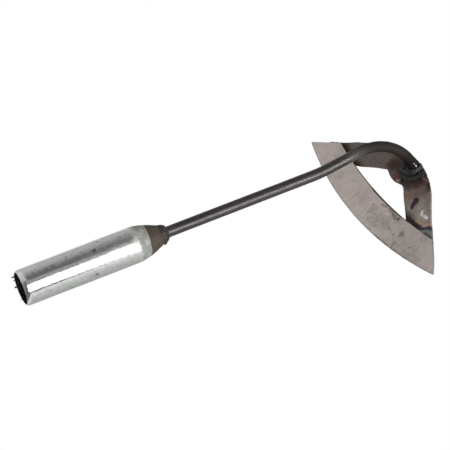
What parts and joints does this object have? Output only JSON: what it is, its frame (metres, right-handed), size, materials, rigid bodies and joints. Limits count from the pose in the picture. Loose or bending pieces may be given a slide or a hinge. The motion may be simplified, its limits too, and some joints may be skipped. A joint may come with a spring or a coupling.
{
  "type": "hand sickle",
  "caption": "All-steel hand hoe with a hollow arched head: tube handle, round-bar gooseneck, plate bracket and a flat arc blade.",
  "frame": {"origin": "midway between the blade's two tips, on the blade's ground face", "axes": "+Z out of the blade's ground face, +X forward from the cutting edge to the bracket's crown, +Y to the left tip"},
  "size_m": [0.2688, 0.188, 0.2255],
  "materials": {
    "zinc": "satin",
    "bar": "satin",
    "plate": "satin",
    "ground_steel": "brushed",
    "weld": "matte"
  },
  "bodies": {
    "root": {"handle_tube": "zinc", "neck_rod": "bar", "neck_weld": "weld", "head_bracket": "plate", "blade": "ground_steel", "head_weld": "weld", "blade_weld_left": "weld", "blade_weld_right": "weld"}
  },
  "joints": []
}
